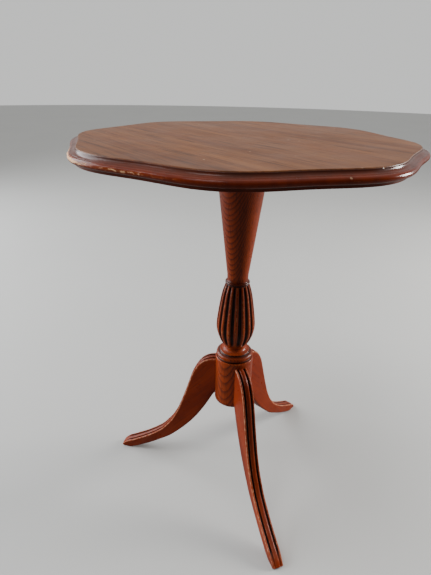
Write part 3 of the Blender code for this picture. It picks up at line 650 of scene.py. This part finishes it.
def edge_section():
    """The top's edge from its upper face to its underside: reach, drop, stain with painted shade, and wear.
    """
    thickness = TOP_HIGH.z - TOP_LOW.z
    bead_x = QUIRK_SET + COVE_RUN
    bead_top = QUIRK_DROP + COVE_DROP
    bead_middle = bead_top + BEAD_HEIGHT / 2
    rows = [(-0.0030, 0.0, 0.0, 0.0)]
    rows += [(x, d, 0.0, 0.30) for x, d in arc((-ARRIS, ARRIS), (ARRIS, ARRIS), -90, -8, 5)]
    # Stain with painted shade: darkest in the quirk, the cove and the bead's crevices, lightest on the bead's
    # crown
    rows += [(QUIRK_SET * 0.35, QUIRK_DROP * 0.80, 1.0, 0.0)]
    cove = arc((bead_x, QUIRK_DROP), (COVE_RUN, COVE_DROP), 180, 92, 11)
    rows += [(x, d, 0.92 - 0.40 * i / 11, 0.05) for i, (x, d) in enumerate(cove)]
    rows += [(bead_x, bead_top + 0.00015, 0.85, 0.0)]
    bead = arc((bead_x, bead_middle), (BEAD_REACH, BEAD_HEIGHT / 2), -86, 88, 20)
    for x, d in bead:
        out = (x - bead_x) / BEAD_REACH
        rows.append((x, d, 0.62 - 0.52 * out, 0.30 * out ** 3))
    rows += [(LIP_REACH + 0.0002, thickness - LIP_HEIGHT - 0.0004, 1.0, 0.0),
             (LIP_REACH, thickness - LIP_HEIGHT, 0.7, 0.0)]
    rows += [(x, d, 0.35, 0.16) for x, d in arc((LIP_REACH - LIP_ROUND, thickness - LIP_ROUND),
                                               (LIP_ROUND, LIP_ROUND), 0, 90, 5)]
    rows += [(-0.006, thickness, 0.2, 0.0), (-0.016, thickness, 0.0, 0.0)]
    return rows


def worn_place(angle, drop):
    """How hard the bead is rubbed: (bare, glow) on one lobe and fading along the next."""
    turn = (angle * 180 / pi) % 360
    height = ease(drop, 0.0046, 0.0060) * (1 - ease(drop, 0.0098, 0.0120))
    bare = ease(turn, 246, 254) * (1 - ease(turn, 261, 282)) * height
    glow = ease(turn, 240, 254) * (1 - ease(turn, 284, 316)) * height
    return bare, glow


class TABLE_OT_add_top(Operator):
    """Loft the lobed top with its moulded edge and its board-like grain"""

    bl_idname = "table.add_top"
    bl_label = "Table top"
    bl_options = {"REGISTER", "UNDO"}

    def execute(self, context):
        settings = context.scene.tilt_table.top
        steps = 48 * settings.lobes
        rows = edge_section()
        rings, masks = [], []
        for reach, drop, darkened, rub_and_sheen in rows:
            moulded = 1.0 if drop > 0.0008 and reach > -0.010 else 0.0
            ring, mask = [], []
            for i in range(steps):
                angle = 2 * pi * i / steps
                radius = settings.radius + settings.swell * cos(settings.lobes * angle)
                slope = -settings.lobes * settings.swell * sin(settings.lobes * angle)
                outward = Vector((cos(angle), sin(angle), 0)) * radius
                normal = outward - Vector((-sin(angle), cos(angle), 0)) * slope
                bare, glow = worn_place(angle, drop)
                chipped = bare * (0.5 + noise.noise(Vector((angle * 20, drop * 300, 1.7))))
                wander = noise.noise(Vector((cos(angle) * 9, sin(angle) * 9, drop * 90))) * 0.00012
                own_reach = reach - 0.0009 * max(0.0, chipped) - abs(wander)
                place = outward + normal.normalized() * own_reach
                place.z = TOP_HIGH.z - drop
                ring.append(place)
                mask.append((moulded, darkened, rub_and_sheen * settings.wear_and_sheen / 0.55 + bare * 0.24 + glow * 0.18))
            rings.append(ring)
            masks.append(mask)
        bm = loft(rings, ("edge", "stain_and_shade", "wear_and_sheen"), masks)
        finish_piece("moulded_top", bm, top_finish(settings), "tilting_top",
                     ["table_top"], WOOD_SHARP)
        return {"FINISHED"}


# ---------------------------------------------------------------- column

def column_rows():
    """The column's profile from hub to taper as (radius, height, stain with painted shade, wear with painted
    highlight) rows.
    """
    # Stain with painted shade: darker on the hub's underside
    rows = [(HUB_RADIUS - HUB_ROUNDING * 3, COLUMN_LOW.z, 0.3, 0.0)]
    rows += [(r, z, 0.25, 0.1) for r, z in arc((HUB_RADIUS - HUB_ROUNDING, COLUMN_LOW.z + HUB_ROUNDING),
                                              (HUB_ROUNDING, HUB_ROUNDING), -90, 0, 6)]
    hub_run = 24
    foot, head = COLUMN_LOW.z + HUB_ROUNDING, HUB_TOP - 0.0012
    rows += [(HUB_RADIUS, foot + (head - foot) * i / hub_run, 0.0, 0.0) for i in range(1, hub_run)]
    shoulder = arc((HUB_RADIUS - HUB_SHOULDER, head), (HUB_SHOULDER, HUB_SHOULDER), 0, 90, 5)
    rows += [(r, z, 0.0, 0.42) for r, z in shoulder]
    # Stain with painted shade in the hub's groove, the torus's crevices and the rim groove
    rows += [(HUB_GROOVE_RADIUS + 0.0004, HUB_TOP, 0.8, 0.0),
             (HUB_GROOVE_RADIUS, HUB_TOP + 0.0002, 1.0, 0.0), (HUB_GROOVE_RADIUS, HUB_TOP + 0.0008, 1.0, 0.0)]
    torus = arc((TORUS[0] - TORUS_HALF, TORUS[1]), (TORUS_HALF, TORUS_HALF), -66, 78, 16)
    for r, z in torus:
        out = (r - TORUS[0] + TORUS_HALF) / TORUS_HALF
        rows.append((r, z, 0.85 - 0.80 * out, 0.20 * out ** 3))
    rows += [(RIM_GROOVE_RADIUS + 0.0006, RIM[1] - 0.0012, 1.0, 0.0),
             (RIM_GROOVE_RADIUS + 0.0003, RIM[1] - 0.0006, 1.0, 0.0),
             (RIM[0] - 0.0005, RIM[1] - 0.0003, 0.7, 0.0)]
    lip = arc((RIM[0] - RIM_ROUND, RIM[1] + 0.0005), (RIM_ROUND, RIM_ROUND), -60, 80, 4)
    rows += [(r, z, 0.1, 0.42) for r, z in lip]
    flare = arc((RIM[0], NECK[1]), (RIM[0] - NECK[0], NECK[1] - RIM[1] - 0.0012), 262, 180, 14)
    rows += [(r, z, 0.12 - 0.12 * i / 14, 0.0) for i, (r, z) in enumerate(flare)]
    urn_top = (COLLAR[0] - 0.0004, URN_TOP)
    urn = smooth_curve([URN_FOOT, URN_LOWER, URN_BELLY, URN_SHOULDER, urn_top], 22)
    rows += [(r, z, 0.0, 0.0) for r, z in urn]
    # Painted shade: the crease under the collar, the collar and the taper's foot are darkened through the
    # stain mask
    rows += [(COLLAR[0] - 0.0012, urn_top[1] + 0.0002, 1.0, 0.0)]
    collar = arc((COLLAR[0] - COLLAR_HALF, COLLAR[1]), (COLLAR_HALF, COLLAR_HALF), -68, 90, 14)
    rows += [(r, z, 0.95 - 0.02 * i, 0.0) for i, (r, z) in enumerate(collar)]
    rows += [(TAPER_FOOT[0] + 0.0012, COLLAR[1] + COLLAR_HALF + 0.0004, 0.8, 0.0),
             (TAPER_FOOT[0] + 0.0003, COLLAR[1] + COLLAR_HALF + 0.0022, 0.45, 0.0)]
    taper_run = 40
    for i in range(1, taper_run + 1):
        t = i / taper_run
        rows.append((TAPER_FOOT[0] + (COLUMN_TOP_RADIUS - TAPER_FOOT[0]) * t,
                     TAPER_FOOT[1] + (BLOCK_LOW.z - GAP - TAPER_FOOT[1]) * t, 0.0, 0.0))
    rows += [(TENON_RADIUS, BLOCK_LOW.z - GAP, 0.3, 0.0), (TENON_RADIUS, COLUMN_HIGH.z - 0.0008, 0.0, 0.0),
             (TENON_RADIUS - 0.0008, COLUMN_HIGH.z, 0.0, 0.0)]
    return rows


def cut_reeds(bm, settings):
    """Draw the urn's wall in to grooves between round reeds."""
    stain_and_shade = bm.verts.layers.float["stain_and_shade"]
    wear_and_sheen = bm.verts.layers.float["wear_and_sheen"]
    top, foot = URN_TOP, URN_FOOT[1]
    pitch = 2 * pi / settings.reeds
    phase = REED_PHASE - pitch / 2
    round_half = radians(REED_ARC)
    for vert in bm.verts:
        height = vert.co.z
        if not foot - 1e-6 <= height <= top + 1e-6:
            continue
        turn = (atan2(vert.co.y, vert.co.x) - 1e-4) % (2 * pi)
        reed, place = divmod(round(turn / (pitch / REED_STEPS)), REED_STEPS)
        lean = radians(-REED_ARC + 2 * REED_ARC * (place - 1) / (REED_STEPS - 2))
        across = 0.5 + REED_HALF * sin(lean) / sin(round_half)
        fall = (1 - cos(lean)) / (1 - cos(round_half))
        if place == 0:
            across, fall = 0, GROOVE_FALL
        full = min(ease(top - height, -0.0010, 0.0016), ease(height - foot, 0.0040, 0.0115))
        radius = hypot(vert.co.x, vert.co.y)
        radius -= radius * settings.reed_depth * fall * full
        angle = (reed + across) * pitch + phase
        vert.co.x, vert.co.y = radius * cos(angle), radius * sin(angle)
        vert[stain_and_shade] = max(vert[stain_and_shade], ease(fall, 0.10, 0.52) * full)
        # The reed crests get wear that paints their highlight lines
        vert[wear_and_sheen] = 0.54 * (1 - ease(fall, 0.02, 0.12))


class TABLE_OT_add_column(Operator):
    """Turn the column on the lathe, reed its urn and slot its tenon for the wedge"""

    bl_idname = "table.add_column"
    bl_label = "Column"
    bl_options = {"REGISTER", "UNDO"}

    def execute(self, context):
        settings = context.scene.tilt_table.column
        bm = spun(column_rows(), settings.reeds * REED_STEPS, ("stain_and_shade", "wear_and_sheen"))
        cut_reeds(bm, settings)
        close_ends(bm)
        sink_slot(bm, WEDGE_HALF, WEDGE_DEPTH)
        finish_piece("turned_column", bm, column_finish(settings), "stand",
                     ["column"], WOOD_SHARP)
        return {"FINISHED"}


# ---------------------------------------------------------------- legs

def leg_across(groove):
    """Half of the upper face from its middle outwards: share of half width, rise, stain with painted shade,
    wear with painted highlight.
    """
    rows = [(0.0, 0.0008, 0.45, 0.0), (0.09, 0.00077, 0.45, 0.0), (0.18, 0.00062, 0.40, 0.05),
            (0.26, 0.00034, 0.25, 0.25), (0.32, -0.0001, 0.15, 0.50), (0.355, -0.0007, 0.65, 0.10)]
    rows += [(0.385, -groove * 0.75, 1.0, 0.0), (0.43, -groove, 1.0, 0.0), (0.54, -groove, 1.0, 0.0),
             (0.65, -groove, 1.0, 0.0), (0.69, -groove * 0.75, 1.0, 0.0)]
    rows += [(0.72, -groove * 0.28, 0.55, 0.10), (0.75, -0.0001, 0.05, 0.60), (0.79, 0.0002, 0.0, 0.42),
             (0.86, 0.0002, 0.0, 0.28), (0.92, -0.0001, 0.0, 0.42), (0.97, -0.0007, 0.0, 0.64),
             (1.0, -0.0016, 0.0, 0.40)]
    return rows


def leg_rings(settings):
    """Each section of a leg along +X, and the matching stain with painted shade and wear with painted
    highlight of its corners.
    """
    half_face = leg_across(settings.groove)
    face = [(-u, *rest) for u, *rest in reversed(half_face[1:])] + half_face
    curve = [(a, max(b, 0), c, max(d, 0)) for a, b, c, d in smooth_curve(LEG_STATIONS, 7)]
    clear = HUB_RADIUS + GAP
    outside = [i for i, row in enumerate(curve) if row[0] > clear + 0.0006 and row[2] > clear + 0.0001]
    first = outside[0] - 1
    rings, masks = [], []
    last = len(curve) - 1
    for i in range(first, last + 1):
        upper_r, upper_z, lower_r, lower_z = curve[i]
        ahead, behind = curve[min(i + 1, last)], curve[max(i - 1, 0)]
        run = Vector((ahead[0] - behind[0], ahead[1] - behind[1])).normalized()
        normal = Vector((-run.y, run.x))
        fade = min(1.0, (curve[last][0] - upper_r) / LEG_TOE_RUN)
        narrowed = LEG_TOE_SHARE + (1 - LEG_TOE_SHARE) * fade
        half = settings.thickness / 2 * narrowed
        depth = Vector((lower_r - upper_r, lower_z - upper_z))
        soft = LEG_ARRIS / depth.length
        ring, mask = [], []

        def corner(point, y, darkened, rub_and_sheen):
            x = point.x if i > first else sqrt(clear ** 2 - y * y)
            ring.append(Vector((x, y, max(0.0, point.y))))
            mask.append((darkened, rub_and_sheen))

        start = Vector((upper_r, upper_z))
        for u, rise, darkened, rub_and_sheen in face:
            corner(start + normal * rise * (0.25 + 0.75 * fade), u * half, darkened * fade, rub_and_sheen)
        flank = [(t, 1.0, 0.0, 0.02) for t in (0.12, 0.30, 0.50, 0.70, 0.86)]
        flank += [(1 - soft, 1.0, 0.0, 0.25), (1 - soft * 0.3, 0.955, 0.0, 0.42), (1.0, 0.86, 0.1, 0.30),
                  (1.0, 0.40, 0.25, 0.0)]
        for t, width, darkened, rub_and_sheen in flank:
            corner(start + depth * t, half * width, darkened, rub_and_sheen)
        for t, width, darkened, rub_and_sheen in reversed(flank):
            corner(start + depth * t, -half * width, darkened, rub_and_sheen)
        rings.append(ring)
        masks.append(mask)
    middle = sum(rings[-1], Vector()) / len(rings[-1])
    rings.append([middle + (place - middle) * 0.72 + Vector((0.0006, 0, 0.0)) for place in rings[-1]])
    masks.append([(0.2, 0.35)] * len(rings[-1]))
    return rings, masks


class TABLE_OT_add_legs(Operator):
    """Loft the three reeded sabre legs, coped to the hub"""

    bl_idname = "table.add_legs"
    bl_label = "Legs"
    bl_options = {"REGISTER", "UNDO"}

    def execute(self, context):
        settings = context.scene.tilt_table.legs
        rings, masks = leg_rings(settings)
        for index in range(LEG_COUNT):
            bm = loft(rings, ("stain_and_shade", "wear_and_sheen"), masks)
            turn = Matrix.Rotation(LEG_TURN + 2 * pi * index / LEG_COUNT, 4, "Z")
            bmesh.ops.transform(bm, matrix=turn, verts=bm.verts)
            material = leg_finish(settings, index, turn)
            finish_piece(f"sabre_leg_{index + 1}", bm, material, "stand",
                         [f"leg_{index + 1}"], WOOD_SHARP)
        return {"FINISHED"}


# ---------------------------------------------------------------- under the top

class TABLE_OT_add_underframe(Operator):
    """Soften the pivot block and bearers and give them their plain wood"""

    bl_idname = "table.add_underframe"
    bl_label = "Block and bearers"
    bl_options = {"REGISTER", "UNDO"}

    def execute(self, context):
        fittings = context.scene.tilt_table.fittings
        tones = (0.185, 0.062, 0.026), (0.085, 0.024, 0.012)
        darkened = plain_finish("underframe_wood", *tones, (5.0, 70.0, 70.0))
        bearer_wood = plain_finish("bearer_wood", *tones, (70.0, 5.0, 70.0))
        beech = plain_finish("beech", fittings.beech, fittings.beech_dark, (90.0, 90.0, 12.0), 0.6)
        block = softened_copy("pivot_block", fittings.rounding, LONG_ARRIS)
        finish_piece("block", block, darkened, "stand", ["pivot_block"])
        for side in ("left", "right"):
            node = f"bearer_{side}"
            bearer = softened_copy(node, fittings.rounding, LONG_ARRIS)
            finish_piece(f"cross_{node}", bearer, bearer_wood, "tilting_top", [node])
        use_material("tenon_wedge", beech)
        for node in frame["nodes"]:
            if node.startswith("leg_dowel"):
                use_material(node, beech)
        return {"FINISHED"}


# ---------------------------------------------------------------- metalwork

def screw(across, reach):
    """A slotted screw head and shank pointing down -Z, its head face at height 0."""
    radius = across / 2
    profile = [(radius * 0.12, -reach), (radius * 0.5, -reach * 0.9), (radius * 0.5, -radius * 0.66),
               (radius, -radius * 0.12), (radius * 0.97, -radius * 0.03), (radius * 0.88, 0)]
    bm = lathe(profile, 32)
    sink_slot(bm, radius * 0.11, radius * 0.3)
    return bm


class TABLE_OT_add_metalwork(Operator):
    """Make the screws, pivot pins, barrel bolt, knob and keeper"""

    bl_idname = "table.add_metalwork"
    bl_label = "Metalwork"
    bl_options = {"REGISTER", "UNDO"}

    def execute(self, context):
        fittings = context.scene.tilt_table.fittings
        brass = metal_finish("aged_brass", fittings.brass, fittings.brass_dull, 0.26)
        steel = metal_finish("dull_steel", fittings.steel, fittings.steel_dull, 0.34)
        for node in sorted(frame["nodes"]):
            if "screw" not in node:
                continue
            low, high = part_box(node)
            keeper = node.startswith("keeper")
            across = high.x - low.x
            reach = (high.y - low.y) if keeper else (high.z - low.z)
            bm = screw(across, reach)
            middle = (low + high) / 2
            if keeper:
                place = Matrix.Translation((middle.x, low.y, middle.z)) @ Matrix.Rotation(pi / 2, 4, "X")
            else:
                slant = Matrix.Rotation(sum(map(ord, node)) * 0.37, 4, "Z")
                place = Matrix.Translation((middle.x, middle.y, low.z)) @ slant @ Matrix.Rotation(pi, 4, "X")
            bmesh.ops.transform(bm, matrix=place, verts=bm.verts)
            metal, slot = (steel, "steel") if node.startswith("bearer") else (brass, "brass")
            finish_piece(f"slotted_{node}", bm, metal, body_of(node), [node], METAL_SHARP)
        for side in ("left", "right"):
            self.add_pin(side, steel)
        self.add_bolt(brass)
        return {"FINISHED"}

    def add_pin(self, side, steel):
        """A headed pivot pin with a low domed head."""
        node = f"pivot_pin_{side}"
        low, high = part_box(node)
        run = high.x - low.x
        head = (high.z - low.z) / 2
        shank = 0.0040
        head_height = 0.0025
        profile = [(head * 0.10, 0), (head * 0.55, head_height * 0.12), (head * 0.85, head_height * 0.40),
                   (head * 0.98, head_height * 0.75), (head, head_height), (shank, head_height),
                   (shank, run)]
        bm = lathe(profile, 40)
        sign = 1 if side == "left" else -1
        outer = low.x if side == "left" else high.x
        place = Matrix.Translation((outer, HINGE.y, HINGE.z)) @ Matrix.Rotation(sign * pi / 2, 4, "Y")
        bmesh.ops.transform(bm, matrix=place, verts=bm.verts)
        finish_piece(f"headed_{node}", bm, steel, body_of(node), [node], METAL_SHARP)

    def add_bolt(self, brass):
        low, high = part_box("catch_bolt")
        radius = (high.x - low.x) / 2
        run = high.y - low.y
        profile = [(radius * 0.5, 0), (radius * 0.9, radius * 0.12), (radius, radius * 0.35),
                   (radius, run - radius * 0.5), (radius * 0.85, run - radius * 0.2), (radius * 0.5, run)]
        bm = lathe(profile, 40)
        place = Matrix.Translation((0, low.y, (low.z + high.z) / 2)) @ Matrix.Rotation(-pi / 2, 4, "X")
        bmesh.ops.transform(bm, matrix=place, verts=bm.verts)
        finish_piece("sliding_bolt", bm, brass, "bolt", ["catch_bolt"], METAL_SHARP)
        low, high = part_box("bolt_knob")
        radius = (high.x - low.x) / 2
        stem = radius * 0.4
        tall = radius * 1.5
        knob = arc((0, low.z + radius * 0.6), (radius, radius * 0.6), -84, 20, 12)
        knob += [(radius * 0.72, low.z + tall * 0.62), (stem * 1.25, low.z + tall * 0.74),
                 (stem * 1.4, low.z + tall * 0.84), (stem * 1.4, low.z + tall), (stem, low.z + tall),
                 (stem, high.z)]
        bm = lathe(knob, 32)
        bmesh.ops.translate(bm, vec=(0, (low.y + high.y) / 2, 0), verts=bm.verts)
        finish_piece("turned_knob", bm, brass, "bolt", ["bolt_knob"], METAL_SHARP)
        for node, name in (("bolt_case", "barrel_case"), ("keeper_plate", "let_in_keeper")):
            bm = softened_copy(node, 0.0003, 0.009)
            finish_piece(name, bm, brass, body_of(node), [node], METAL_SHARP)


# ---------------------------------------------------------------- stage

LIGHT_AIM = Vector((0, 0, 0.3))


def add_light(name, power, size, azimuth, elevation, distance, tint):
    """A soft square light that faces the table."""
    data = bpy.data.lights.new(name, "AREA")
    data.energy = power
    data.size = size
    data.color = tint
    lamp = bpy.data.objects.new(name, data)
    away = Euler((0, -radians(elevation), radians(azimuth))).to_matrix() @ Vector((distance, 0, 0))
    lamp.location = LIGHT_AIM + away
    lamp.rotation_euler = (lamp.location - LIGHT_AIM).to_track_quat("Z", "Y").to_euler()
    bpy.context.scene.collection.objects.link(lamp)


class TABLE_OT_add_stage(Operator):
    """Lay a plain floor and set the soft lights, surroundings and camera"""

    bl_idname = "table.add_stage"
    bl_label = "Stage"
    bl_options = {"REGISTER", "UNDO"}

    def execute(self, context):
        settings = context.scene.tilt_table.stage
        bm = bmesh.new()
        bmesh.ops.create_circle(bm, cap_ends=True, segments=96, radius=9)
        mesh = bpy.data.meshes.new("floor")
        bm.to_mesh(mesh)
        bm.free()
        floor_ = bpy.data.objects.new("floor", mesh)
        context.scene.collection.objects.link(floor_)
        f = Finish("plain_floor", roughness=0.75, specular=0.3)
        cloud = f.noise(f.space(), 2.0, 3.0)
        pale = f.mix(f.spread(cloud, 0.3, 0.7), settings.floor, [v * 0.97 for v in settings.floor])
        f.join("Base Color", f.mix(f.add("LightPath"), settings.floor_bounce, pale))
        mesh.materials.append(f.material)
        world = bpy.data.worlds.new("surroundings")
        world.use_nodes = True
        shade = world.node_tree.nodes["Background"]
        shade.inputs["Color"].default_value = (*settings.backdrop, 1)
        light = Shading(world.node_tree)
        around = light.add("TexCoord")
        # Brighter on the side behind the table, and from above
        behind = Vector((-0.76, 0.64, 0.25)).normalized()
        facing = light.add("VectorMath", {0: around, 1: behind}, out=1, operation="DOT_PRODUCT")
        upward = light.add("SeparateXYZ", {"Vector": around}, out=2)
        level = light.sums("ADD", light.spread(facing, -0.1, 0.9, 0.02, settings.surround),
                           light.spread(upward, 0.40, 0.80, 0.0, settings.sky))
        seen = light.add("Mix", {0: light.add("LightPath"), 2: level, 3: settings.seen})
        light.tree.links.new(seen, shade.inputs["Strength"])
        context.scene.world = world
        add_light("window", settings.key, 0.8, 66, 16, 2.2, (1.0, 0.98, 0.95))
        add_light("room", settings.fill, 2.0, -144, 20, 2.2, (0.95, 0.97, 1.0))
        data = bpy.data.lights.new("overhead", "SUN")
        data.energy = settings.overhead
        data.angle = radians(30)
        lamp = bpy.data.objects.new("overhead", data)
        lamp.rotation_euler = Euler((0, radians(90 - 64), radians(-95)))
        context.scene.collection.objects.link(lamp)
        data = bpy.data.cameras.new("camera")
        data.lens = settings.lens
        data.sensor_width = 36
        data.clip_start = 0.01
        camera = bpy.data.objects.new("camera", data)
        camera.location = settings.camera_place
        camera.rotation_euler = settings.camera_turn
        context.scene.collection.objects.link(camera)
        context.scene.camera = camera
        return {"FINISHED"}


# ---------------------------------------------------------------- panel and registration

OPERATORS = (TABLE_OT_add_top, TABLE_OT_add_column, TABLE_OT_add_legs, TABLE_OT_add_underframe,
             TABLE_OT_add_metalwork, TABLE_OT_add_stage)
GROUPS = (TopSettings, ColumnSettings, LegSettings, FittingSettings, StageSettings, TableSettings)


class TABLE_PT_panel(Panel):
    """Sizes, colours and builders of the table"""

    bl_idname = "TABLE_PT_panel"
    bl_label = "Tilt-top table"
    bl_space_type = "VIEW_3D"
    bl_region_type = "UI"
    bl_category = "Table"

    def draw(self, context):
        table = context.scene.tilt_table
        for operator, name in zip(OPERATORS, ("top", "column", "legs", "fittings", None, "stage")):
            box = self.layout.box()
            box.operator(operator.bl_idname)
            if name:
                group = getattr(table, name)
                for key in group.__annotations__:
                    box.prop(group, key)


def register():
    for item in (*GROUPS, *OPERATORS, TABLE_PT_panel):
        bpy.utils.register_class(item)
    bpy.types.Scene.tilt_table = PointerProperty(type=TableSettings, name="Table",
                                                 description="Table settings")


def unregister():
    del bpy.types.Scene.tilt_table
    for item in reversed((*GROUPS, *OPERATORS, TABLE_PT_panel)):
        bpy.utils.unregister_class(item)


def main():
    register()
    bpy.ops.table.add_top()
    bpy.ops.table.add_column()
    bpy.ops.table.add_legs()
    bpy.ops.table.add_underframe()
    bpy.ops.table.add_metalwork()
    bpy.ops.table.add_stage()


if __name__ == "__main__":
    main()
